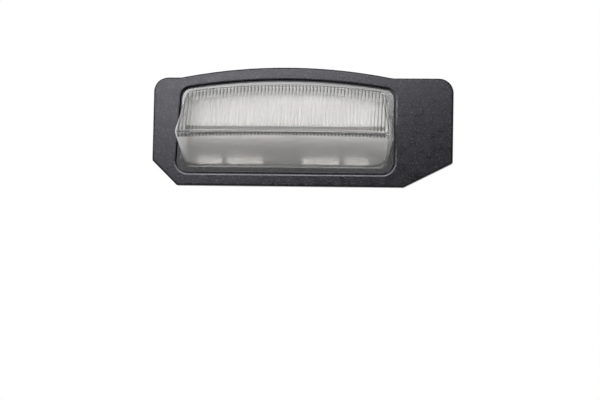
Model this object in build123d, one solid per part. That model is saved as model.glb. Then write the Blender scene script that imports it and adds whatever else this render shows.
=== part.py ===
from build123d import *

import os
from math import atan2, cos, radians, sin, sqrt, tan

# Number plate lamp: a black moulded housing that snaps into a panel from the outside, a clear fluted lens
# set into its flange, and a board of LEDs behind the lens that is fed by a two-blade socket at the rear.
# Millimetres. X runs along the lamp, Y from the lens into the panel, Z is up. The origin is the middle of
# the lens opening on the flange face that meets the panel.

# Flange outline, with a level shoulder beyond each foot of its arch
narrow_shoulder = 8.0
wide_shoulder = 17.5
flange_bottom = -17.25
shoulder_top = 14.25
flange_thickness = 2.5
narrow_cut_x = 7.4
narrow_cut_z = 7.2
wide_cut_x = 14.0
wide_cut_z = 7.1
shoulder_radius = 4.3
cut_radius = 0.8
flange_edge = 0.5

# Arch along the top of the flange, which the box and the board follow
arch_centre = -0.25
arch_half_span = 30.75
arch_rise = 3.0
arch_foot_radius = 6.0

# Lens opening in the flange, and the lean of the narrow end that the box shares
opening_half_length = 31.7
opening_bottom = -13.85
opening_crown = 13.8
opening_arch = 180.0
opening_top_radius = 3.35
opening_low_radius = 3.85
opening_depth = 1.5
narrow_lean = 3.2

# Lens: a flat rim that fills the opening, and a dome with a ridge across it
lens_gap = 0.55
upper_wall = 2.0
lower_wall = 1.2
side_wall = 0.9
lens_draft = 0.5
rim_rise = 0.1
rim_bevel = 0.25
dome_top_taper = 2.55
dome_low_taper = 2.35
dome_top_radius = 1.5
dome_low_radius = 3.4
dome_tip_radius = 6.0
dome_top_margin = 1.2
dome_low_margin = 1.65
dome_rise = 8.5
dome_top_rise = 1.75
dome_low_rise = 0.8
dome_bevel = 0.4
ridge_z = -1.95
ridge_bow = 0.75
flute_pitch = 1.0
flute_depth = 0.14
flute_start = 1.2

# Box behind the flange, measured at the flange and from the ends of the lens opening
box_wide_step = 1.2
box_narrow_step = 0.2
box_bottom = -12.15
box_band = 5.75
box_depth = 12.0
box_wall = 1.0
box_draft = 1.0
box_corner = 1.0
rear_step = 0.4

# Socket block on the rear of the box
socket_x = -0.3
socket_width = 18.2
socket_top = 4.5
socket_bottom = -13.3
socket_height = 8.0
rail_lip = 0.6
rail_groove = 1.9
foot_lip = 0.6
foot_groove = 0.85
rail_depth = 2.5

# Plug cavity, the guide round its far end and the notch for the plug's latch
cavity_wide = 7.2
cavity_narrow = -2.6
cavity_top = -0.55
cavity_bottom = -10.25
guide_length = 2.2
guide_wall = 1.4
guide_arm = 1.6
guide_drop = 1.7
notch_inset = 0.3
notch_depth = 3.5

# Terminal blades
blade_width = 1.5
blade_thickness = 0.64
blade_spacing = 6.2
blade_x = 2.3
blade_drop = 2.5
blade_tail = 0.6
blade_tip = 0.25

# Spring clip at the wide end, with the ribs that tie its leg to the box
panel_room = 2.3
clip_gap = 3.1
clip_thickness = 1.3
clip_radius = 4.2
clip_shoulder = 5.6
clip_flare = 16.0
clip_width = 11.9
clip_bottom = -8.4
clip_rib = 0.9
clip_rib_height = 6.0
clip_rib_pitch = 3.85
clip_ribs = 3

# Fixed hook at the narrow end
hook_length = 3.4
hook_bottom = -9.5
hook_width = 8.2
hook_lip = 1.0
hook_ramp = 3.4

# White reflector round the board: walls that line the box, and a lip that the dome traps on the ledge
reflector_wall = 0.8
reflector_gap = 0.15
reflector_end = -8.5
lip_thickness = 0.5
lip_inset = 0.3

# LED board, which the reflector holds down on two ribs
board_x = -0.25
board_end_step = 2.7
row_x = -0.9
board_thickness = 1.6
board_front = 1.0
board_clearance = 0.1
board_corner = 1.0
rib_inset = 6.6
rib_thickness = 2.6
rib_top = 6.0
rib_bottom = -5.5
blade_hole_clearance = 0.15

# LEDs, in a row along the lower edge of the board: on each side three beside the blades, then a pair
led_width = 3.3
led_height = 2.6
led_depth = 1.9
led_spacing = 0.2
led_group_gap = 1.6
led_blade_gap = 1.9
led_end = 2.0
led_edge = 0.05
window_width = 2.7
window_height = 2.0
window_depth = 0.25
led_corner = 0.5
inner_leds = 3

# Parts soldered to the rear of the board
resistor_length = 3.2
resistor_width = 1.6
resistor_height = 0.55
load_length = 6.3
load_width = 3.2
load_height = 0.65
load_x = 11.0
load_z = 3.5
cap_length = 0.5
cap_step = 0.04
diode_length = 4.3
diode_width = 2.6
diode_height = 2.2
diode_lead = 1.4
diode_lead_length = 0.6
diode_lead_thickness = 0.2
diode_x = 9.0
diode_z = -3.0

# Round paper label on the rear face
label_diameter = 10.0
label_thickness = 0.12
label_x = 17.3
label_z = 1.0

# Worked out from the sizes above
flange_front = -flange_thickness
ledge = flange_front + opening_depth
arch_radius = (arch_half_span**2 + arch_rise**2) / (2 * arch_rise)
arch_crown = shoulder_top + arch_rise
narrow_reach = arch_half_span - arch_centre + narrow_shoulder
wide_reach = arch_half_span + arch_centre + wide_shoulder
box_wide = opening_half_length - box_wide_step
box_narrow = opening_half_length - box_narrow_step
clip_x = box_wide + clip_gap
hook_reach = box_narrow + hook_length
board_half_length = opening_half_length - board_end_step
socket_low_x = socket_x - socket_width / 2
socket_high_x = socket_x + socket_width / 2
rear_inner = box_depth - box_wall
socket_mouth = box_depth + socket_height
board_rear = board_front + board_thickness
blade_middle = (cavity_top + cavity_bottom) / 2
blade_heights = {"positive": blade_middle + blade_spacing / 2, "negative": blade_middle - blade_spacing / 2}
rib_places = (row_x - board_half_length + rib_inset, row_x + board_half_length - rib_inset)
rim_front = flange_front - rim_rise
dome_tip = opening_half_length - lens_gap
dome_top_half = dome_tip - dome_top_taper
dome_low_half = dome_tip - dome_low_taper
dome_crown = opening_crown - lens_gap - dome_top_margin
dome_bottom = opening_bottom + lens_gap + dome_low_margin
upper_slope = atan2(dome_rise - dome_top_rise, dome_crown - ridge_z)
lower_slope = atan2(dome_rise - dome_low_rise, ridge_z - dome_bottom)
board_bottom = box_bottom + box_wall + board_clearance
led_row = board_bottom + led_edge + led_height / 2
led_pitch = led_width + led_spacing
led_start = blade_x + blade_width / 2 + led_blade_gap - row_x
led_limit = board_half_length - abs(row_x - board_x) - led_end


def at_depth(sketch, depth):
    """Stand a sketch drawn in X and Z up on the plane Y = depth."""
    return Plane.XZ.offset(-depth) * sketch


def prism(sketch, front, rear):
    """Straight solid from a sketch in X and Z, between two depths."""
    return extrude(at_depth(sketch, rear), amount=rear - front)


def drafted(outline, start, end, draft):
    """Solid whose outline, a function of its inset, shrinks by the draft angle from start to end."""
    shrink = abs(end - start) * tan(radians(draft))
    return loft([at_depth(outline(0), start), at_depth(outline(shrink), end)], ruled=True)


def block(x_range, depths, z_range):
    """Box between two X values, two depths and two heights."""
    size = [high - low for low, high in (x_range, depths, z_range)]
    corner = (x_range[0], depths[0], z_range[0])
    return Pos(*corner) * Box(*size, align=Align.MIN)


def rounded(sketch, radius, *corners):
    """Round the corners of a sketch that lie at the given points."""
    return fillet([sketch.vertices().sort_by_distance(corner)[0] for corner in corners], radius)


def arch_height(x, crown, radius):
    """Height at x of an arc whose highest point is the crown."""
    return crown - radius + sqrt(radius**2 - (x - arch_centre) ** 2)


def bay(wide, narrow, bottom, crown, arch, top_radius, low_radius):
    """Arch-topped outline with an upright wide end and a leaning narrow end."""
    lean = tan(radians(narrow_lean))
    narrow_high = -narrow + arch_height(-narrow, crown, arch) * lean
    low_wide = (wide, bottom)
    low_narrow = (-narrow + bottom * lean, bottom)
    top_wide = (wide, arch_height(wide, crown, arch))
    top_narrow = (narrow_high, arch_height(narrow_high, crown, arch))
    sides = [Line(low_narrow, low_wide), Line(low_wide, top_wide), Line(top_narrow, low_narrow)]
    outline = make_face(sides + [ThreePointArc(top_wide, (arch_centre, crown), top_narrow)])
    outline = rounded(outline, top_radius, top_wide, top_narrow)
    return rounded(outline, low_radius, low_wide, low_narrow)


def opening_outline(inset):
    """Lens opening in the flange, moved inwards by inset."""
    reach = opening_half_length - inset
    arch = (opening_crown - inset, opening_arch - inset)
    radii = (opening_top_radius - inset, opening_low_radius - inset)
    return bay(reach, reach, opening_bottom + inset, *arch, *radii)


def box_outline(inset):
    """Outside of the rear box at the flange, moved inwards by inset."""
    radius = max(box_corner - inset, box_corner / 2)
    arch = (arch_crown - box_band - inset, arch_radius - box_band - inset)
    return bay(box_wide - inset, box_narrow - inset, box_bottom + inset, *arch, radius, radius)


def dome_outline(inset):
    """Six-sided outline of the dome, widest at its ridge, moved inwards by inset."""
    crown = dome_crown - inset
    arch = opening_arch - (opening_crown - crown)
    bottom = dome_bottom + inset
    top_half = dome_top_half - inset
    low_half = dome_low_half - inset
    top_wide = (top_half, arch_height(top_half, crown, arch))
    top_narrow = (-top_half, arch_height(-top_half, crown, arch))
    tips = [(side * (dome_tip - inset), ridge_z - ridge_bow) for side in (-1, 1)]
    low = [(side * low_half, bottom) for side in (-1, 1)]
    sides = Polyline(top_narrow, tips[0], low[0], low[1], tips[1], top_wide)
    outline = make_face([sides, ThreePointArc(top_wide, (arch_centre, crown), top_narrow)])
    outline = rounded(outline, max(dome_top_radius - inset, dome_top_radius / 3), top_wide, top_narrow)
    outline = rounded(outline, max(dome_low_radius - inset, dome_low_radius / 3), *low)
    return rounded(outline, dome_tip_radius, *tips)


def flange_outline():
    """Flange: an arch between two level shoulders, with the lower corners cut off."""
    low_narrow = (narrow_cut_x - narrow_reach, flange_bottom)
    low_wide = (wide_reach - wide_cut_x, flange_bottom)
    side_wide = (wide_reach, flange_bottom + wide_cut_z)
    side_narrow = (-narrow_reach, flange_bottom + narrow_cut_z)
    shoulder_wide = (wide_reach, shoulder_top)
    shoulder_narrow = (-narrow_reach, shoulder_top)
    foot_wide = (arch_centre + arch_half_span, shoulder_top)
    foot_narrow = (arch_centre - arch_half_span, shoulder_top)
    lower = Polyline(foot_narrow, shoulder_narrow, side_narrow, low_narrow, low_wide, side_wide,
                     shoulder_wide, foot_wide)
    arch = ThreePointArc(foot_wide, (arch_centre, arch_crown), foot_narrow)
    outline = make_face([lower, arch])
    outline = rounded(outline, shoulder_radius, shoulder_wide, shoulder_narrow)
    outline = rounded(outline, arch_foot_radius, foot_wide, foot_narrow)
    return rounded(outline, cut_radius, low_narrow, low_wide, side_wide, side_narrow)


def make_flange():
    """Flange plate with its front edge eased all round."""
    plate = prism(flange_outline(), flange_front, 0)
    return fillet(plate.faces().sort_by(Axis.Y)[0].edges(), flange_edge)


def make_socket():
    """Socket block: rails above and below, a plug cavity with a guide, and a latch notch."""
    across = (socket_low_x, socket_high_x)
    body = block(across, (box_depth, socket_mouth), (socket_bottom, socket_top))
    rail_floor = (socket_mouth - rail_depth, socket_mouth)
    groove_top = socket_top - rail_lip
    groove_low = socket_bottom + foot_lip
    body -= block(across, rail_floor, (groove_top - rail_groove, groove_top))
    body -= block(across, rail_floor, (groove_low, groove_low + foot_groove))

    guide_end = cavity_narrow + guide_length
    bar_end = cavity_narrow - guide_wall
    deep = (box_depth, socket_mouth)
    body -= block((guide_end, cavity_wide), deep, (cavity_bottom, cavity_top))
    body -= block((cavity_narrow, guide_end), deep, (cavity_bottom + guide_arm, cavity_top - guide_arm))
    shallow = (socket_mouth - guide_drop, socket_mouth)
    body -= block((bar_end, guide_end), shallow, (cavity_bottom, cavity_top))
    notch = (cavity_bottom + notch_inset, cavity_top - notch_inset)
    body -= block((socket_low_x, bar_end), (socket_mouth - notch_depth, socket_mouth), notch)
    return body


def make_clip():
    """Bent tongue: a leg up from the flange, a round crest and a flared leg down to the panel's room."""
    axis_x = clip_x + clip_radius
    flare = radians(clip_flare)

    def bend(radius):
        """One side of the strip: foot, shoulder, crest, end of the bend and tip."""
        end = (axis_x + radius * cos(flare), clip_shoulder + radius * sin(flare))
        tip = (end[0] + (end[1] - panel_room) * tan(flare), panel_room)
        left = axis_x - radius
        return (left, 0), (left, clip_shoulder), (axis_x, clip_shoulder + radius), end, tip

    outer = bend(clip_radius)
    inner = bend(clip_radius - clip_thickness)
    edges = [Line(outer[-1], inner[-1]), Line(outer[0], inner[0])]
    for foot, shoulder, crest, end, tip in (outer, inner):
        edges += [Line(foot, shoulder), ThreePointArc(shoulder, crest, end), Line(end, tip)]
    tongue = extrude(Plane.XY.offset(clip_bottom) * make_face(edges), amount=clip_width)

    top = clip_bottom + clip_width
    for index in range(clip_ribs):
        high = top - index * clip_rib_pitch
        tongue += block((box_wide - box_wall / 2, clip_x), (0, clip_rib_height), (high - clip_rib, high))
    return tongue


def make_hook():
    """Rigid hook with a lead-in ramp, rooted in the narrow wall of the box."""
    root = box_wall / 2 - box_narrow
    profile = Polyline((root, panel_room), (-hook_reach, panel_room), (-hook_reach, panel_room + hook_lip),
                       (root, panel_room + hook_lip + hook_ramp), close=True)
    return extrude(Plane.XY.offset(hook_bottom) * make_face(profile), amount=hook_width)


def make_ribs():
    """Ribs on the rear wall that carry the board."""
    half = rib_thickness / 2
    depths = (board_rear, rear_inner)
    return [block((x - half, x + half), depths, (rib_bottom, rib_top)) for x in rib_places]


def blade_section(height):
    """Section of a blade, which is also its slot in the rear wall, as a sketch in X and Z."""
    return Pos(blade_x, height) * Rectangle(blade_width, blade_thickness)


def make_housing():
    """Flange, box, socket, clip and hook as the one moulding that they are."""
    body = make_flange() + drafted(box_outline, 0, box_depth, box_draft)
    step = (box_depth - rear_step, box_depth)
    body -= block((socket_high_x, wide_reach), step, (flange_bottom, arch_crown))
    body += [make_socket(), make_clip(), make_hook()]
    body -= prism(opening_outline(0), flange_front, ledge)
    body -= drafted(lambda inset: box_outline(box_wall + inset), ledge, rear_inner, box_draft)
    body += make_ribs()
    for height in blade_heights.values():
        body -= prism(blade_section(height), rear_inner, box_depth)
    return body


def dome_volume(side, upper, lower):
    """Dome form with its skins moved inwards: the drafted outline under a two-sided roof."""
    front = flange_front - 2 * dome_rise
    form = drafted(lambda extra: dome_outline(side + extra), ledge, front, lens_draft)

    def upper_depth(z):
        """Depth of the upper face at height z."""
        return flange_front - dome_rise + (z - ridge_z) * tan(upper_slope) + upper / cos(upper_slope)

    low, high = flange_bottom, arch_crown
    roof = make_face(Polyline((upper_depth(low), low), (upper_depth(high), high),
                              (box_depth, high), (box_depth, low), close=True))
    form &= extrude(Plane.YZ * roof, amount=wide_reach, both=True)

    # The lower face is a shallow arc carried along its slope, so that the ridge bows upwards
    bow_radius = (dome_tip**2 + ridge_bow**2) / (2 * ridge_bow)
    drop = bow_radius - sqrt(bow_radius**2 - wide_reach**2)
    middle = ridge_z - (dome_rise + opening_depth) / tan(lower_slope) + lower / sin(lower_slope)
    arc = ThreePointArc((-wide_reach, middle - drop), (0, middle), (wide_reach, middle - drop))
    rest = Polyline((wide_reach, middle - drop), (wide_reach, high), (-wide_reach, high),
                    (-wide_reach, middle - drop))
    slope = (0, -sin(lower_slope), cos(lower_slope))
    reach = (ledge - front) / sin(lower_slope)
    return form & extrude(at_depth(make_face([arc, rest]), ledge), amount=reach, dir=slope)


def make_flutes():
    """Round-bottomed flutes up the inside of the upper face, from just above the ridge to the top."""
    count = int(2 * (dome_tip - side_wall) / flute_pitch)
    start = -count * flute_pitch / 2
    edges = [Polyline((-start, 0), (-start, upper_wall), (start, upper_wall), (start, 0))]
    for index in range(count):
        left = start + index * flute_pitch
        middle = left + flute_pitch / 2
        edges.append(ThreePointArc((left, 0), (middle, -flute_depth), (left + flute_pitch, 0)))
    foot = flange_front - dome_rise + upper_wall / cos(upper_slope)
    up_slope = (0, sin(upper_slope), cos(upper_slope))
    across = Plane(origin=(0, foot, ridge_z), x_dir=(1, 0, 0), z_dir=up_slope).offset(flute_start)
    length = (dome_crown - ridge_z) / cos(upper_slope) - flute_start
    room = dome_volume(side_wall, upper_wall - flute_depth, lower_wall)
    return extrude(across * make_face(edges), amount=length) & room


def make_lens():
    """Clear shell: a rim and a bevelled dome, hollow from behind, fluted inside its upper face."""
    rim = prism(opening_outline(lens_gap), rim_front, ledge)
    rim = chamfer(rim.faces().sort_by(Axis.Y)[0].edges(), rim_bevel)
    dome = dome_volume(0, 0, 0)
    roof_faces = dome.faces().sort_by(SortBy.AREA)[-3:-1]
    roof_edges = dict.fromkeys(edge for face in roof_faces for edge in face.edges())
    dome = chamfer(list(roof_edges), dome_bevel)
    hollow = dome_volume(side_wall, upper_wall, lower_wall) + make_flutes()
    return rim + dome - hollow - make_lip(reflector_gap)


def make_lip(clearance):
    """Plate on the ledge below the dome, down to the reflector's ends, grown by a clearance."""
    plate = prism(dome_outline(lip_inset - clearance), ledge - lip_thickness - clearance, ledge)
    below = (flange_bottom, reflector_end - clearance)
    return plate - block((-narrow_reach, wide_reach), (flange_front, ledge), below)


def make_reflector():
    """White frame, open below, that hides the walls of the box and its ledge behind the dome."""
    outer = box_wall + reflector_gap
    walls = prism(box_outline(outer), ledge, board_front) + make_lip(0)
    room = box_outline(outer + reflector_wall)
    depths = (ledge - lip_thickness, board_front)
    walls -= prism(room, *depths)
    return walls - block((-narrow_reach, wide_reach), depths, (flange_bottom, reflector_end))


def make_board():
    """White board with an arched top and holes for the blades."""
    inset = box_band + box_wall + board_clearance
    crown, arch = arch_crown - inset, arch_radius - inset
    left, right = board_x - board_half_length, board_x + board_half_length
    top_left = (left, arch_height(left, crown, arch))
    top_right = (right, arch_height(right, crown, arch))
    low_left, low_right = (left, board_bottom), (right, board_bottom)
    sides = Polyline(top_left, low_left, low_right, top_right)
    outline = make_face([sides, ThreePointArc(top_right, (arch_centre, crown), top_left)])
    outline = rounded(outline, board_corner, top_left, low_left, low_right, top_right)
    blade_hole = sqrt(blade_width**2 + blade_thickness**2) / 2 + blade_hole_clearance
    for height in blade_heights.values():
        outline -= Pos(blade_x, height) * Circle(blade_hole)
    return prism(outline, board_front, board_rear)


def led_places():
    """X of each LED, group by group from the narrow end, set out from the blades outwards."""
    outer_start = led_start + inner_leds * led_pitch + led_group_gap
    outer_leds = int((led_limit - outer_start + led_spacing) / led_pitch)
    half_row = []
    for start, count in ((led_start, inner_leds), (outer_start, outer_leds)):
        half_row.append([start + led_width / 2 + index * led_pitch for index in range(count)])
    narrow_half = [[row_x - place for place in group] for group in half_row[::-1]]
    wide_half = [[row_x + place for place in group] for group in half_row]
    return narrow_half + wide_half


def make_led(x):
    """LED package with a sunk window in its face and one corner cut to mark its polarity."""
    half = led_width / 2
    low = led_row - led_height / 2
    high = led_row + led_height / 2
    outline = make_face(Polyline((x - half, low), (x + half, low), (x + half, high - led_corner),
                                 (x + half - led_corner, high), (x - half, high), close=True))
    front = board_front - led_depth
    window = Pos(x, led_row) * Rectangle(window_width, window_height)
    return prism(outline, front, board_front) - prism(window, front, front + window_depth)


def make_chip(x, z, length, width, height):
    """Chip resistor on the rear of the board, with plated caps a little proud of its body."""
    half = length / 2
    z_range = (z - width / 2, z + width / 2)
    top = board_rear + height
    chip = block((x - half + cap_length, x + half - cap_length), (board_rear, top - cap_step), z_range)
    for left in (x - half, x + half - cap_length):
        chip += block((left, left + cap_length), (board_rear, top), z_range)
    return chip


def make_diode():
    """Moulded diode with a foot at each end."""
    half_length = diode_length / 2
    reach = half_length + diode_lead_length
    half_width = diode_width / 2
    half_lead = diode_lead / 2
    body_depths = (board_rear, board_rear + diode_height)
    foot_depths = (board_rear, board_rear + diode_lead_thickness)
    body = block((diode_x - half_length, diode_x + half_length), body_depths,
                 (diode_z - half_width, diode_z + half_width))
    feet = block((diode_x - reach, diode_x + reach), foot_depths,
                 (diode_z - half_lead, diode_z + half_lead))
    return body + feet


def make_blade(height):
    """Flat blade from the front of the board, through the rear wall, to a tapered tip in the cavity."""
    blade = prism(blade_section(height), board_front - blade_tail, socket_mouth - blade_drop)
    return chamfer(blade.faces().sort_by(Axis.Y)[-1].edges(), blade_tip)


def make_label():
    """Round label on the lower step of the rear face."""
    seat = box_depth - rear_step
    return prism(Pos(label_x, label_z) * Circle(label_diameter / 2), seat, seat + label_thickness)


pieces = {"housing": make_housing(), "lens": make_lens(), "reflector": make_reflector()}
pieces["led_board"] = make_board()
led_number = 0
for group_number, group in enumerate(led_places(), start=1):
    for led_x in sorted(group):
        led_number += 1
        pieces[f"led_{led_number:02d}"] = make_led(led_x)
    group_middle = sum(group) / len(group)
    chip = make_chip(group_middle, led_row, resistor_length, resistor_width, resistor_height)
    pieces[f"resistor_{group_number}"] = chip
for load_number, side in enumerate((-1, 1), start=1):
    chip = make_chip(board_x + side * load_x, load_z, load_length, load_width, load_height)
    pieces[f"load_resistor_{load_number}"] = chip
pieces["polarity_diode"] = make_diode()
for pole, blade_height in blade_heights.items():
    pieces[f"terminal_blade_{pole}"] = make_blade(blade_height)
pieces["date_label"] = make_label()

os.makedirs("parts", exist_ok=True)
for name, piece in pieces.items():
    export_step(piece, f"parts/{name}.step")
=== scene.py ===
import math
from functools import partial

import bpy
import numpy as np
from mathutils import Matrix, Vector


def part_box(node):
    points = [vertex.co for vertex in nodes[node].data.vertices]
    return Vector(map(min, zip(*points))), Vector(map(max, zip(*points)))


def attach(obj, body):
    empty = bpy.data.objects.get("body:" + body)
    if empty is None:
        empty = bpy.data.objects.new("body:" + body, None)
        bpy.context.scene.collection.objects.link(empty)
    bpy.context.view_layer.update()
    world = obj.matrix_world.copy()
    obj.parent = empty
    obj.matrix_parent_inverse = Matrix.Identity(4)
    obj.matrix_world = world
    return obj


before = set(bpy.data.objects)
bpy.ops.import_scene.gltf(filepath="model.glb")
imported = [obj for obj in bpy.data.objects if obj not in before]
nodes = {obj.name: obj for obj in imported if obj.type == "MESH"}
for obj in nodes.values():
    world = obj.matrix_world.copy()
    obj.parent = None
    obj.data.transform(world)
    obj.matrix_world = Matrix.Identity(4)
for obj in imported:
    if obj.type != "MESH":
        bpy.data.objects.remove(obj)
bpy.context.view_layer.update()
scene = bpy.context.scene
mm = 0.001  # the frame is in metres, sizes below are in millimetres
print("frame loaded,", len(nodes), "nodes")


def linear(hexColour):
    # sRGB hex to linear: a straight line near black, a 2.4 power curve above it
    srgb = np.array([int(hexColour[start:start + 2], 16) for start in (0, 2, 4)]) / 255
    low = srgb / 12.92
    high = ((srgb + 0.055) / 1.055) ** 2.4
    return (*np.where(srgb <= 0.04045, low, high).tolist(), 1.0)


def addNode(tree, kind, inputs=None, **settings):
    # one shader node: settings are its properties, inputs are values, or sockets and nodes to link from
    # a node is linked from the first output that its settings leave in use
    # inputs 6 and 7 of a Mix node are its two colours
    made = tree.nodes.new("ShaderNode" + kind)
    for key, value in settings.items():
        setattr(made, key, value)
    for key, value in (inputs or {}).items():
        if isinstance(value, bpy.types.Node):
            value = next(socket for socket in value.outputs if socket.enabled)
        if isinstance(value, bpy.types.NodeSocket):
            tree.links.new(value, made.inputs[key])
        else:
            made.inputs[key].default_value = value
    return made


def startMaterial(name):
    # an empty material, and addNode for its tree
    material = bpy.data.materials.new(name)
    material.use_nodes = True
    material.node_tree.nodes.clear()
    return material, partial(addNode, material.node_tree)


def dress(material, *names):
    for name in names:
        nodes[name].material_slots[0].material = material


# The photograph's camera, as a turn of the lamp before a fixed lens
photoView = {
    "imageWidth": 600,      # pixels
    "focal": 1900,          # pixels
    "yaw": 6.5,             # degrees, seen from the clip end's side
    "pitch": -4.0,          # degrees, seen from a little below
    "roll": 1.12,           # degrees
    "shift": (-3.72, -20.97, 550.03),   # mm, right, down and away from the lens
    "sensor": 36,           # mm
    "clip": (10, 20000),    # mm, the nearest and the farthest that it shows
}


def makeCamera(view):
    # the turn is yaw about the upright, then pitch, then roll, on axes right, down and away
    yaw, pitch, roll = (math.radians(view[key]) for key in ("yaw", "pitch", "roll"))
    turn = Matrix.Rotation(roll, 3, "Z") @ Matrix.Rotation(pitch, 3, "X") @ Matrix.Rotation(yaw, 3, "Y")
    toPhotoAxes = Matrix(((1, 0, 0), (0, 0, -1), (0, 1, 0)))
    turn = turn @ toPhotoAxes
    place = -(turn.transposed() @ Vector(view["shift"]))
    right, down, away = turn.row
    data = bpy.data.cameras.new("photoCamera")
    data.sensor_width = view["sensor"]
    data.lens = data.sensor_width * view["focal"] / view["imageWidth"]
    data.clip_start, data.clip_end = (size * mm for size in view["clip"])
    camera = bpy.data.objects.new("photoCamera", data)
    scene.collection.objects.link(camera)
    columns = Matrix((right, -down, -away)).transposed()
    camera.matrix_world = Matrix.Translation(place * mm) @ columns.to_4x4()
    scene.camera = camera


makeCamera(photoView)
print("camera placed")


# Moulded black ABS: a fine spark-eroded grain on the front breaks the gloss into a soft charcoal sheen
# with painted glints as pale specks on the grain's tips, and every other side came out of a polished mould
blackAbs = {
    "colour": "040508",
    "paleColour": "1c1c1f",
    "glintColour": "4c4c52",
    "frontLean": -0.9,      # faces that look forward by more than this are grained
    "mottle": 2.6,          # mm, patches of duller and shinier skin
    "patches": (0.35, 0.65),        # of the mottle's height, where they start and are fully pale
    "polished": 0.2,        # share of the mottle left on the polished sides
    "grain": 0.5,           # mm, drawn coarser than the real 0.2 mm so that it shows
    "grainHeight": 0.03,    # mm
    "glintTips": (0.56, 0.70),         # of the grain's height, where the painted glints on its tips start and are fully pale
    "roughness": (0.14, 0.24),      # of the shiny and the dull patches
    "specular": 0.15,
    "sheen": "f6f5ff",      # tint of the gloss, a little blue
    "edge": 0.28,           # mm, rounding of the moulded edges, too small to model
    "edgeSamples": 6,
}


def makeBlackAbs(look):
    material, add = startMaterial("mouldedBlackAbs")
    place = add("TexCoord").outputs["Object"]
    facing = add("SeparateXYZ", {0: add("NewGeometry").outputs["Normal"]}).outputs["Y"]
    front = add("Math", {0: facing, 1: look["frontLean"]}, operation="LESS_THAN")
    mottle = add("TexNoise", {"Vector": place, "Scale": 1 / (look["mottle"] * mm),
                              "Detail": 6.0, "Roughness": 0.7})
    grain = add("TexNoise", {"Vector": place, "Scale": 1 / (look["grain"] * mm),
                             "Detail": 3.0, "Roughness": 0.6})
    most = add("MapRange", {"Value": front, "To Min": look["polished"]})
    start, full = look["patches"]
    patch = add("MapRange", {"Value": mottle, "From Min": start, "From Max": full, "To Max": most})
    # painted glints: the tips of the grain are drawn pale
    start, full = look["glintTips"]
    tips = add("MapRange", {"Value": grain, "From Min": start, "From Max": full, "To Max": front})
    tone = add("Mix", {"Factor": patch, 6: linear(look["colour"]), 7: linear(look["paleColour"])},
               data_type="RGBA")
    tone = add("Mix", {"Factor": tips, 6: tone, 7: linear(look["glintColour"])}, data_type="RGBA")
    shiny, dull = look["roughness"]
    gloss = add("MapRange", {"Value": patch, "To Min": shiny, "To Max": dull})
    rounded = add("Bevel", {"Radius": look["edge"] * mm}, samples=look["edgeSamples"])
    bump = add("Bump", {"Height": grain, "Strength": front, "Distance": look["grainHeight"] * mm,
                        "Normal": rounded})
    shader = add("BsdfPrincipled", {"Base Color": tone, "Roughness": gloss, "Normal": bump,
                                    "Specular IOR Level": look["specular"],
                                    "Specular Tint": linear(look["sheen"])})
    add("OutputMaterial", {"Surface": shader})
    return material


# Slanted bead round the lens opening, which catches the light below the lens
openingBead = {
    "width": 0.32,          # mm
    "proud": 0.034,         # mm, at its outer side
    "root": 0.05,           # mm, how far it is sunk into the face
    "wallLean": 0.1,        # walls of the opening face forward by less than this
    "flatness": 0.005,      # mm, corners this near to the front are in its face
    "skin": {"edge": 0.0, "specular": 0.24},    # shinier than the housing, and its slant is modelled
}


def makeOpeningBead(look, material):
    # the opening's front edge: corners in the front face that also belong to a wall square to it
    shape = nodes["housing"].data
    flat = np.empty(len(shape.vertices) * 3)
    shape.vertices.foreach_get("co", flat)
    points = flat.reshape(-1, 3)
    corners = np.empty(len(shape.loops), dtype=np.int32)
    shape.loops.foreach_get("vertex_index", corners)
    normals = np.empty(len(shape.polygons) * 3)
    shape.polygons.foreach_get("normal", normals)
    walls = np.abs(normals.reshape(-1, 3)[:, 1]) < look["wallLean"]
    edge = points[corners.reshape(-1, 3)[walls].ravel()]        # every face is a triangle
    front = points[:, 1].min()
    edge = edge[edge[:, 1] < front + look["flatness"] * mm]
    loop = np.unique(edge[:, (0, 2)].round(7), axis=0)
    loop = loop[np.argsort(np.arctan2(loop[:, 1], loop[:, 0]))]
    # outward direction at a corner: the mean of the square directions to the edges before and after it
    ahead = np.roll(loop, -1, axis=0) - loop
    square = np.column_stack((ahead[:, 1], -ahead[:, 0])) / np.linalg.norm(ahead, axis=1)[:, None]
    outward = square + np.roll(square, 1, axis=0)
    outward /= np.linalg.norm(outward, axis=1)[:, None]
    # section: from the edge up a slant to the outer side, down into the face and back below the edge
    section = np.array(((0, 0), (look["width"], -look["proud"]), (look["width"], look["root"]),
                        (0, look["root"])))
    # surface: each corner of the section is carried round the loop, across along the outward direction
    across, deep = section[:, 0, None] * mm, section[:, 1, None] * mm
    rings = np.stack(np.broadcast_arrays(loop[:, 0] + outward[:, 0] * across, front + deep,
                                         loop[:, 1] + outward[:, 1] * across), axis=-1)
    sides, count = rings.shape[:2]
    side, corner = np.indices((sides, count))
    low, high, after = side * count, (side + 1) % sides * count, (corner + 1) % count
    faces = np.stack((low + corner, high + corner, high + after, low + after), axis=-1)
    mesh = bpy.data.meshes.new("openingBead")
    mesh.from_pydata(rings.reshape(-1, 3).tolist(), [], faces.reshape(-1, 4).tolist())
    mesh.materials.append(material)
    bead = bpy.data.objects.new("openingBead", mesh)
    scene.collection.objects.link(bead)
    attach(bead, "root")


dress(makeBlackAbs(blackAbs), "housing")
makeOpeningBead(openingBead, makeBlackAbs({**blackAbs, **openingBead["skin"]}))
print("housing dressed")
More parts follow.
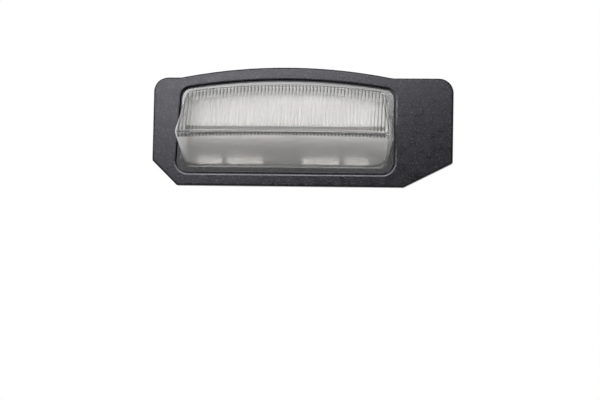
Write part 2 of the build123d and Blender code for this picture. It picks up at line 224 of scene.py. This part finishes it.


# Injection moulded clear polycarbonate: bright and sharp above the ridge, etched to a frost below it; its
# zones carry painted shade and painted light
clearLens = {
    "colour": "f6f5f5",
    "ior": 1.585,
    "clearRoughness": 0.03,
    "frostRoughness": 0.42,
    "rimRoughness": (0.05, 0.28),   # at the foot and at the top, where the rim is rubbed
    "rimHeights": (-13, 12),        # mm, its foot and its top
    "halfLength": 31.15,    # mm
    "ridgeBow": 0.75,       # mm, how far the ridge drops at its ends
    "crown": 12.1,          # mm, top of the dome in the middle
    "crownRadius": 178.5,   # mm
    "flutePitch": 1.0,      # mm
    # each limit of a zone names a measure or an earlier zone, its value outside and its value fully inside,
    # in mm, as a share of a face's direction or of the flutes' wave, or as 0 and 1 of the earlier zone
    "zones": {
        "stroke": (("wave", 0.1, 0.9),),        # crests between the flutes
        "endWalls": (("sideways", 0.2, 0.201),),
        "dome": (("depth", -2.7, -2.701),),     # its outer skin
        "rim": (("depth", -2.651, -2.65),),
        "frost": (("overRidge", -3.0, -3.3), ("depth", -2.9, -3.2)),    # from a clear strip below the ridge
        "ridge": (("overRidge", -3.4, -3.2), ("overRidge", -2.25, -2.31), ("depth", -9.0, -9.001)),
        "ridgeRow": (("ridge", 0, 1), ("endWalls", 1, 0)),      # painted shade: flute ends seen through the ridge
        "ridgeGaps": (("ridge", 0, 1), ("stroke", 1, 0)),       # painted glints, pale between those flute ends
        "ridgeBevel": (("overRidge", -2.2, -2.1), ("overRidge", -1.55, -1.65), ("depth", -10.3, -10.301),
                       ("endWalls", 1, 0)),     # painted shade, where the bevel turns the view down into the dark
        "crownRow": (("belowCrown", 4.0, 1.9), ("dome", 0, 1)),     # painted shade: flute ends along the crown
        "crest": (("belowCrown", 0.8, 0.5), ("dome", 0, 1)),        # painted shade on the dome's top edge
        "endRow": (("fromMiddle", 23.5, 27.5), ("overRidge", -1.551, -1.55),
                   ("dome", 0, 1)),             # painted shade on the outer flutes, which turn to the dark ends
        "spill": (("height", -12.0, -11.6), ("height", -11.099, -11.1), ("depth", -3.601, -3.6),
                  ("fromMiddle", 28.5, 26.5)),  # the frost runs out over the dome's rounded foot
        "gateEnd": (("along", -27.0, -31.5), ("rim", 1, 0)),        # painted light: hazy and pale at the left end, where the light falls from the left
        "rimFoot": (("height", -2.0, -6.0), ("rim", 0, 1)),         # painted shade, where it looks into the black seat
        "bareRim": (("rim", 0, 1), ("spill", 1, 0)),
        "bareFoot": (("rimFoot", 0, 1), ("spill", 1, 0)),
        "rimBevel": (("facing", -0.851, -0.85), ("facing", -0.549, -0.55), ("rim", 0, 1)),
        "rimSide": (("facing", 0.301, 0.3), ("facing", -0.301, -0.3), ("rim", 0, 1)),
        "sealFoot": (("height", -12.9, -12.901), ("rimSide", 0, 1)),
        "sealCrown": (("belowCrown", -0.8, -0.801), ("rimSide", 0, 1)),
        "sealEnds": (("fromMiddle", 30.5, 30.501), ("rimSide", 0, 1)),
    },
    "shade": "363637",      # painted shade, where the wall turns the view into the dark
    "ridgeShade": "1c1c1d",
    # shares of those two painted shades, all over a zone and more on its strokes
    "shadeShares": {"crownRow": (0.08, 0.87), "crest": (0.35, 0.0), "endRow": (0.0, 0.8)},
    "ridgeShares": {"ridgeRow": (0.7, 0.3), "ridgeBevel": (0.8, 0.0)},
    "rimShares": (0.25, 0.35),      # of the painted shade, all over the rim and more at its foot
    "haze": {               # share of the light that a zone scatters
        "rimBevel": 0.12,
        "rimFoot": 0.24,
        "ridgeGaps": 0.05,
        "spill": 0.33,
        "gateEnd": 0.4,
    },
    "shadedJoints": ("sealFoot", "sealCrown", "sealEnds"),     # zones painted black as the shade in the joint
    "jointShadeColour": "0a0a0b",         # painted shade: black on the rim's outer side up to its bevel, as the dark joint
    "gloss": "ffffff",
    "dullGloss": "404040",          # of the rim's foot and the painted joint shade
    "shadow": "f8f8f8",             # what the lens leaves of a lamp's light
}


def makeClearLens(look):
    material, add = startMaterial("clearPolycarbonate")
    place = add("VectorMath", {0: add("TexCoord").outputs["Object"], "Scale": 1 / mm}, operation="SCALE")
    along, depth, height = add("SeparateXYZ", {0: place}).outputs
    normal = add("SeparateXYZ", {0: add("NewGeometry").outputs["Normal"]}).outputs
    squared = add("Math", {0: along, 1: along}, operation="MULTIPLY")
    # height over the bowed ridge: z plus the bow times the square of x over half the length
    bow = look["ridgeBow"] / look["halfLength"] ** 2
    overRidge = add("Math", {0: squared, 1: bow, 2: height}, operation="MULTIPLY_ADD")
    # distance below the crown's arc: crown minus the square of x over twice the radius minus z
    curve = -1 / (2 * look["crownRadius"])
    arc = add("Math", {0: squared, 1: curve, 2: look["crown"]}, operation="MULTIPLY_ADD")
    # wave of the flutes: the cosine of x over the pitch, in full turns
    turns = add("Math", {0: along, 1: 2 * math.pi / look["flutePitch"]}, operation="MULTIPLY")
    measures = {
        "along": along,
        "depth": depth,
        "height": height,
        "fromMiddle": add("Math", {0: along}, operation="ABSOLUTE"),
        "overRidge": overRidge,
        "belowCrown": add("Math", {0: arc, 1: height}, operation="SUBTRACT"),
        "wave": add("Math", {0: turns}, operation="COSINE"),
        "facing": normal["Y"],
        "sideways": add("Math", {0: normal["X"]}, operation="ABSOLUTE"),
    }

    # a zone is the product of its limits, each of which climbs straight from 0 outside to 1 inside
    for zone, limits in look["zones"].items():
        measures[zone] = 1.0
        for name, outside, inside in limits:
            climb = add("MapRange", {"Value": measures[name], "From Min": outside, "From Max": inside})
            measures[zone] = add("Math", {0: measures[zone], 1: climb}, operation="MULTIPLY")
    jointShade = 0.0
    for zone in look["shadedJoints"]:
        jointShade = add("Math", {0: jointShade, 1: measures[zone]}, operation="MAXIMUM")

    # colour: painted shade, dark all over a zone and more on its strokes, and where zones meet the darkest
    # counts
    overall, more = look["rimShares"]
    rimDark = add("Math", {0: measures["bareRim"], 1: overall}, operation="MULTIPLY")
    rimDark = add("Math", {0: measures["bareFoot"], 1: more, 2: rimDark}, operation="MULTIPLY_ADD")
    tone = linear(look["colour"])
    for colour, shares, dark in (("shade", "shadeShares", rimDark), ("ridgeShade", "ridgeShares", 0.0)):
        for zone, (overall, more) in look[shares].items():
            share = add("Math", {0: measures["stroke"], 1: more, 2: overall}, operation="MULTIPLY_ADD")
            share = add("Math", {0: measures[zone], 1: share}, operation="MULTIPLY")
            dark = add("Math", {0: dark, 1: share}, operation="MAXIMUM")
        tone = add("Mix", {"Factor": dark, 6: tone, 7: linear(look[colour])}, data_type="RGBA")
    tone = add("Mix", {"Factor": jointShade, 6: tone, 7: linear(look["jointShadeColour"])}, data_type="RGBA")

    # roughness: the frost, or the rim's rub where that is rougher
    frost = add("Math", {0: measures["frost"], 1: measures["endWalls"]}, operation="MAXIMUM")
    etched = add("MapRange", {"Value": frost, "To Min": look["clearRoughness"],
                              "To Max": look["frostRoughness"]})
    (foot, top), (atFoot, atTop) = look["rimHeights"], look["rimRoughness"]
    rub = add("MapRange", {"Value": height, "From Min": foot, "From Max": top,
                           "To Min": atFoot, "To Max": atTop})
    rub = add("Math", {0: measures["rim"], 1: rub}, operation="MULTIPLY")
    roughness = add("Math", {0: etched, 1: rub}, operation="MAXIMUM")

    # clearness: all of the light, less what the hazy zones scatter, and none through the painted joint
    # shade
    clear = add("Math", {0: 1.0, 1: jointShade}, operation="SUBTRACT")
    for zone, share in look["haze"].items():
        clear = add("Math", {0: measures[zone], 1: -share, 2: clear}, operation="MULTIPLY_ADD")
    clear = add("Math", {0: clear, 1: 0.0}, operation="MAXIMUM")
    dull = add("Math", {0: measures["rimFoot"], 1: jointShade}, operation="MAXIMUM")
    gloss = add("Mix", {"Factor": dull, 6: linear(look["gloss"]), 7: linear(look["dullGloss"])},
                data_type="RGBA")
    lens = add("BsdfPrincipled", {"Base Color": tone, "IOR": look["ior"], "Roughness": roughness,
                                  "Specular Tint": gloss, "Transmission Weight": clear})
    # lamps light what is behind the lens, which a bending surface would otherwise shut off
    through = add("BsdfTransparent", {"Color": linear(look["shadow"])})
    shadowRay = add("LightPath").outputs["Is Shadow Ray"]
    either = add("MixShader", {0: shadowRay, 1: lens, 2: through})
    add("OutputMaterial", {"Surface": either})
    return material


dress(makeClearLens(clearLens), "lens")
print("lens dressed")


# White solder mask on glass-fibre board, with two grey bands of painted shade across it and painted light
# along its top
whiteBoard = {
    "colour": "e6e5e2",
    "shade": "dddcd9",
    "cloud": 5.0,           # mm, patches of the two
    "bright": "fbfbf9",     # painted light along the top, which lifts the shadow of the reflector's wall
    "paintedLightFrom": (6.0, 10.0),      # mm, height where it starts and is full
    "shadeGrey": "868583",
    "shadeBands": ((-1.1, 0.0), (-12.0, -3.1)),     # mm, painted shade: a narrow band and the wide one under the LEDs
    "roughness": 0.6,
    "specular": 0.05,
}


def makeWhiteBoard(look):
    material, add = startMaterial("whiteSolderMask")
    place = add("TexCoord").outputs["Object"]
    height = add("SeparateXYZ", {0: place}).outputs["Z"]
    cloud = add("TexNoise", {"Vector": place, "Scale": 1 / (look["cloud"] * mm), "Detail": 3.0})
    tone = add("Mix", {"Factor": cloud, 6: linear(look["colour"]), 7: linear(look["shade"])},
               data_type="RGBA")
    # painted light: the board is drawn whiter towards its top
    start, full = (size * mm for size in look["paintedLightFrom"])
    paintedLightShare = add("MapRange", {"Value": height, "From Min": start, "From Max": full})
    tone = add("Mix", {"Factor": paintedLightShare, 6: tone, 7: linear(look["bright"])}, data_type="RGBA")
    for low, high in look["shadeBands"]:
        inside = add("Math", {0: height, 1: (low + high) / 2 * mm, 2: (high - low) / 2 * mm},
                     operation="COMPARE")
        tone = add("Mix", {"Factor": inside, 6: tone, 7: linear(look["shadeGrey"])}, data_type="RGBA")
    shader = add("BsdfPrincipled", {"Base Color": tone, "Roughness": look["roughness"],
                                    "Specular IOR Level": look["specular"]})
    add("OutputMaterial", {"Surface": shader})
    return material


dress(makeWhiteBoard(whiteBoard), "led_board")


# White filled polycarbonate, satin, with faint flow marks along the frame
whiteReflector = {
    "colour": "e2e2df",
    "shade": "d8d8d5",
    "flow": 9.0,            # mm
    "roughness": 0.6,
    "specular": 0.05,
}


def makeWhiteReflector(look):
    material, add = startMaterial("whitePolycarbonate")
    place = add("TexCoord").outputs["Object"]
    flow = add("TexNoise", {"Vector": place, "Scale": 1 / (look["flow"] * mm), "Detail": 4.0})
    tone = add("Mix", {"Factor": flow, 6: linear(look["colour"]), 7: linear(look["shade"])},
               data_type="RGBA")
    shader = add("BsdfPrincipled", {"Base Color": tone, "Roughness": look["roughness"],
                                    "Specular IOR Level": look["specular"]})
    add("OutputMaterial", {"Surface": shader})
    return material


dress(makeWhiteReflector(whiteReflector), "reflector")


# LED package: a white moulded body round a sunk window of pale yellow phosphor in silicone
ledLook = {
    "body": "dddcda",
    "phosphor": "dedbd2",
    "speck": 0.12,          # mm, grains of phosphor
    "windowDepth": 0.15,    # mm behind the face, where the phosphor starts
    "frontLean": -0.9,      # faces that look forward by more than this belong to the window
    "roughness": 0.5,
    "specular": 0.05,
}


def makeLed(look):
    material, add = startMaterial("ledPackage")
    place = add("TexCoord").outputs["Object"]
    depth = add("SeparateXYZ", {0: place}).outputs["Y"]
    facing = add("SeparateXYZ", {0: add("NewGeometry").outputs["Normal"]}).outputs["Y"]
    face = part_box("led_01")[0].y
    sunk = add("Math", {0: depth, 1: face + look["windowDepth"] * mm}, operation="GREATER_THAN")
    forward = add("Math", {0: facing, 1: look["frontLean"]}, operation="LESS_THAN")
    window = add("Math", {0: sunk, 1: forward}, operation="MULTIPLY")
    speck = add("TexNoise", {"Vector": place, "Scale": 1 / (look["speck"] * mm)})
    gel = add("Mix", {"Factor": speck, 6: linear(look["phosphor"]), 7: linear(look["body"])},
              data_type="RGBA")
    tone = add("Mix", {"Factor": window, 6: linear(look["body"]), 7: gel}, data_type="RGBA")
    shader = add("BsdfPrincipled", {"Base Color": tone, "Roughness": look["roughness"],
                                    "Specular IOR Level": look["specular"]})
    add("OutputMaterial", {"Surface": shader})
    return material


dress(makeLed(ledLook), *[name for name in nodes if name.startswith("led_") and name != "led_board"])
print("board and LEDs dressed")


# Tinned brass: bright, a little grey, drawn along the blade
tinnedBrass = {
    "colour": "cfccc4",
    "shade": "a9a59b",
    "streak": (0.15, 4.0),  # mm, across and along
    "roughness": (0.22, 0.4),       # of the bright and the shaded streaks
    "solder": "868583",     # the soldered end in front of the board, dull, in the grey of the painted shade band round it
}


def makeTinnedBrass(look):
    material, add = startMaterial("tinnedBrass")
    place = add("TexCoord").outputs["Object"]
    across, along = (1 / (size * mm) for size in look["streak"])
    drawn = add("Mapping", {"Vector": place, "Scale": (across, along, across)})
    streak = add("TexNoise", {"Vector": drawn, "Scale": 1.0, "Detail": 3.0})
    tone = add("Mix", {"Factor": streak, 6: linear(look["colour"]), 7: linear(look["shade"])},
               data_type="RGBA")
    bright, shaded = look["roughness"]
    gloss = add("MapRange", {"Value": streak, "To Min": bright, "To Max": shaded})
    depth = add("SeparateXYZ", {0: place}).outputs["Y"]
    plated = add("Math", {0: depth, 1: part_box("led_board")[0].y}, operation="GREATER_THAN")
    tone = add("Mix", {"Factor": plated, 6: linear(look["solder"]), 7: tone}, data_type="RGBA")
    shader = add("BsdfPrincipled", {"Base Color": tone, "Metallic": plated, "Roughness": gloss})
    add("OutputMaterial", {"Surface": shader})
    return material


dress(makeTinnedBrass(tinnedBrass), "terminal_blade_positive", "terminal_blade_negative")


# Chip resistor: dark glazed ceramic between two tinned caps, which stand a little proud of it
chipLook = {
    "body": "1c1d20",
    "glaze": "2a2b2f",
    "speck": 0.3,           # mm, of the glaze
    "caps": "c4c2bb",
    "capStep": 0.02,        # mm
    "endLean": 0.9,         # faces that look to the ends by more than this are caps too
    "roughness": 0.35,
}


def makeChip(look, name, top):
    material, add = startMaterial(name)
    place = add("TexCoord").outputs["Object"]
    depth = add("SeparateXYZ", {0: place}).outputs["Y"]
    side = add("SeparateXYZ", {0: add("NewGeometry").outputs["Normal"]}).outputs["X"]
    speck = add("TexNoise", {"Vector": place, "Scale": 1 / (look["speck"] * mm)})
    tone = add("Mix", {"Factor": speck, 6: linear(look["body"]), 7: linear(look["glaze"])},
               data_type="RGBA")
    proud = add("Math", {0: depth, 1: top - look["capStep"] * mm}, operation="GREATER_THAN")
    sideways = add("Math", {0: side}, operation="ABSOLUTE")
    ends = add("Math", {0: sideways, 1: look["endLean"]}, operation="GREATER_THAN")
    caps = add("Math", {0: proud, 1: ends}, operation="MAXIMUM")
    tone = add("Mix", {"Factor": caps, 6: tone, 7: linear(look["caps"])}, data_type="RGBA")
    shader = add("BsdfPrincipled", {"Base Color": tone, "Metallic": caps, "Roughness": look["roughness"]})
    add("OutputMaterial", {"Surface": shader})
    return material


for family in ("resistor", "load_resistor"):
    chips = [name for name in nodes if name.startswith(family + "_")]
    dress(makeChip(chipLook, family + "Ceramic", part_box(chips[0])[1].y), *chips)


# Black epoxy moulding with a matt, slightly dusty skin; its two feet are tinned
diodeLook = {
    "body": "17171a",
    "dust": "26262a",
    "dustSize": 0.4,        # mm
    "feet": "bdbbb4",
    "footHeight": 0.25,     # mm
    "roughness": 0.6,
}


def makeEpoxy(look):
    material, add = startMaterial("blackEpoxy")
    place = add("TexCoord").outputs["Object"]
    depth = add("SeparateXYZ", {0: place}).outputs["Y"]
    dust = add("TexNoise", {"Vector": place, "Scale": 1 / (look["dustSize"] * mm), "Detail": 3.0})
    tone = add("Mix", {"Factor": dust, 6: linear(look["body"]), 7: linear(look["dust"])},
               data_type="RGBA")
    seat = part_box("polarity_diode")[0].y
    feet = add("Math", {0: depth, 1: seat + look["footHeight"] * mm}, operation="LESS_THAN")
    tone = add("Mix", {"Factor": feet, 6: tone, 7: linear(look["feet"])}, data_type="RGBA")
    shader = add("BsdfPrincipled", {"Base Color": tone, "Metallic": feet, "Roughness": look["roughness"]})
    add("OutputMaterial", {"Surface": shader})
    return material


dress(makeEpoxy(diodeLook), "polarity_diode")
print("blades and board parts dressed")


# Round paper date label: two printed rings and the numbers 1 to 12 between them, with a bare centre
labelLook = {
    "paper": "e9deda",
    "fibre": "dccfca",
    "fibreSize": 0.5,       # mm
    "paperRoughness": 0.7,
    "ink": "8f5450",
    "inkRoughness": 0.6,
    "rings": (4.55, 2.4),   # mm, radii
    "line": 0.13,           # mm
    "numbers": 12,
    "numberRadius": 3.45,   # mm
    "numberSize": 1.25,     # mm
    "numberHeight": 0.02,   # mm, half of it in the paper
    "numberSteps": 3,       # straight lines in each bend of a number
}


def makeLabelPaper(look, middle):
    material, add = startMaterial("labelPaper")
    place = add("TexCoord").outputs["Object"]
    # distance from the label's middle, measured along its face
    flat = add("VectorMath", {0: place, 1: (1, 0, 1)}, operation="MULTIPLY")
    radius = add("VectorMath", {0: flat, 1: (middle.x, 0, middle.z)}, operation="DISTANCE")
    fibre = add("TexNoise", {"Vector": place, "Scale": 1 / (look["fibreSize"] * mm), "Detail": 4.0})
    tone = add("Mix", {"Factor": fibre, 6: linear(look["paper"]), 7: linear(look["fibre"])},
               data_type="RGBA")
    for ring in look["rings"]:
        near = add("Math", {0: radius, 1: ring * mm, 2: look["line"] / 2 * mm}, operation="COMPARE")
        tone = add("Mix", {"Factor": near, 6: tone, 7: linear(look["ink"])}, data_type="RGBA")
    shader = add("BsdfPrincipled", {"Base Color": tone, "Roughness": look["paperRoughness"]})
    add("OutputMaterial", {"Surface": shader})
    return material


def makeLabelNumbers(look, middle, face):
    ink, add = startMaterial("printedInk")
    paint = add("BsdfPrincipled", {"Base Color": linear(look["ink"]), "Roughness": look["inkRoughness"]})
    add("OutputMaterial", {"Surface": paint})
    points, faces = [], []
    for number in range(1, look["numbers"] + 1):
        curve = bpy.data.curves.new("number", "FONT")
        curve.body = str(number)
        curve.size = look["numberSize"] * mm
        curve.extrude = look["numberHeight"] / 2 * mm
        curve.align_x, curve.align_y = "CENTER", "CENTER"
        curve.resolution_u = look["numberSteps"]
        drawn = bpy.data.objects.new("number", curve)
        shape = drawn.to_mesh()
        flat = np.empty(len(shape.vertices) * 3)
        shape.vertices.foreach_get("co", flat)
        flat = flat.reshape(-1, 3)
        # a dial read from behind the lamp: the number is moved out, then turned by its share of the round
        turn = -2 * math.pi * number / look["numbers"]
        across, up = flat[:, 0], flat[:, 1] + look["numberRadius"] * mm
        right = across * math.cos(turn) - up * math.sin(turn)
        high = across * math.sin(turn) + up * math.cos(turn)
        corners = np.empty(len(shape.loops), dtype=np.int32)
        shape.loops.foreach_get("vertex_index", corners)
        starts = np.empty(len(shape.polygons), dtype=np.int32)
        shape.polygons.foreach_get("loop_start", starts)
        faces += [part.tolist() for part in np.split(corners + len(points), starts[1:])]
        points += np.column_stack((middle.x - right, face + flat[:, 2], middle.z + high)).tolist()
        drawn.to_mesh_clear()
        bpy.data.objects.remove(drawn)
        bpy.data.curves.remove(curve)
    mesh = bpy.data.meshes.new("labelNumbers")
    mesh.from_pydata(points, [], faces)
    mesh.materials.append(ink)
    numbers = bpy.data.objects.new("labelNumbers", mesh)
    scene.collection.objects.link(numbers)
    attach(numbers, "root")


labelLow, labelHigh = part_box("date_label")
labelMiddle = (labelLow + labelHigh) / 2
dress(makeLabelPaper(labelLook, labelMiddle), "date_label")
makeLabelNumbers(labelLook, labelMiddle, labelHigh.y)
print("label printed")


# Stage: a white floor well below the lamp, a white surround, two soft lamps and three that only give gloss
stage = {
    "floorDrop": 160,       # mm under the origin
    "floorSize": 3000,      # mm
    "floorColour": "f2f2f2",
    "floorLift": 0.42,      # light added where the floor is seen, up to white
    "floorFade": (300, 900),        # mm from the origin, where it starts and ends fading into the surround
    "ambient": 0.36,
    "lamps": {              # place in mm, size in mm, roll in degrees, radiance
        "keyLamp": ((-240, -450, 300), (340, 300), 0, 3.2),
        "sheenLamp": ((-60, -450, 122), (220, 124), 22, 16.6),
        "backLamp": ((-150, 520, 420), (500, 300), 0, 3.0),
        "edgeLamp": ((0, 330, 480), (700, 420), 0, 9.5),
        "sideLamp": ((-520, 330, 40), (300, 420), 0, 9.0),
    },
    "glossOnly": ("sheenLamp", "edgeLamp", "sideLamp"),     # the sheen of the black skin
}


def whereSeen(add):
    # 1 for rays that see, mirror or look through to the surround, 0 for those that only carry its light
    rays = add("LightPath").outputs
    seen = add("Math", {0: rays["Is Camera Ray"], 1: rays["Is Glossy Ray"]}, operation="MAXIMUM")
    return add("Math", {0: seen, 1: rays["Is Transmission Ray"]}, operation="MAXIMUM")


def makeFloor(look):
    # one large square, lifted to white where it is seen, with the lamp's shadow left on it
    half = look["floorSize"] / 2 * mm
    drop = -look["floorDrop"] * mm
    mesh = bpy.data.meshes.new("floor")
    corners = [(-half, -half, drop), (half, -half, drop), (half, half, drop), (-half, half, drop)]
    mesh.from_pydata(corners, [], [(0, 1, 2, 3)])
    floor = bpy.data.objects.new("floor", mesh)
    scene.collection.objects.link(floor)
    material, add = startMaterial("whiteFloor")
    paint = add("BsdfDiffuse", {"Color": linear(look["floorColour"])})
    seen = whereSeen(add)
    lift = add("Math", {0: seen, 1: look["floorLift"]}, operation="MULTIPLY")
    lifted = add("AddShader", {0: paint, 1: add("Emission", {"Strength": lift})})
    distance = add("VectorMath", {0: add("TexCoord").outputs["Object"]}, operation="LENGTH")
    start, end = (size * mm for size in look["floorFade"])
    fade = add("MapRange", {"Value": distance, "From Min": start, "From Max": end})
    far = add("Math", {0: seen, 1: fade}, operation="MULTIPLY")
    blend = add("MixShader", {0: far, 1: lifted, 2: add("Emission", {"Strength": 1.0})})
    # from below the floor is clear, so that the lamp can be looked at from there
    under = add("NewGeometry").outputs["Backfacing"]
    sided = add("MixShader", {0: under, 1: blend, 2: add("BsdfTransparent")})
    add("OutputMaterial", {"Surface": sided})
    mesh.materials.append(material)


def makeSurround(look):
    # plain white where it is seen, mirrored or seen through, softer where it only lights
    world = bpy.data.worlds.new("surround")
    scene.world = world
    world.use_nodes = True
    world.node_tree.nodes.clear()
    add = partial(addNode, world.node_tree)
    seen = whereSeen(add)
    # what lies behind the lens is lit through its shadow rays, so light from there isn't counted again
    bounces = add("LightPath").outputs["Diffuse Depth"]
    first = add("Math", {0: bounces, 1: 0.5}, operation="LESS_THAN")
    white = add("Math", {0: seen, 1: first}, operation="MULTIPLY")
    soft = add("MapRange", {"Value": seen, "To Min": look["ambient"], "To Max": 0.0})
    level = add("Math", {0: white, 1: soft}, operation="ADD")
    light = add("Background", {"Color": (1, 1, 1, 1), "Strength": level})
    add("OutputWorld", {"Surface": light})


def makeLamps(look):
    # each lamp faces the origin; its power is its radiance times its area times pi
    for name, (place, size, roll, radiance) in look["lamps"].items():
        data = bpy.data.lights.new(name, "AREA")
        data.shape = "RECTANGLE"
        data.size, data.size_y = size[0] * mm, size[1] * mm
        data.energy = radiance * math.pi * data.size * data.size_y
        lamp = bpy.data.objects.new(name, data)
        spot = Matrix.Translation([value * mm for value in place])
        aim = (-spot.translation).to_track_quat("-Z", "Y").to_matrix().to_4x4()
        lamp.matrix_world = spot @ aim @ Matrix.Rotation(math.radians(roll), 4, "Z")
        scene.collection.objects.link(lamp)
        lamp.visible_transmission = False
        lamp.visible_diffuse = name not in look["glossOnly"]


makeFloor(stage)
makeSurround(stage)
makeLamps(stage)
scene.view_settings.view_transform = "Standard"
print("stage set")
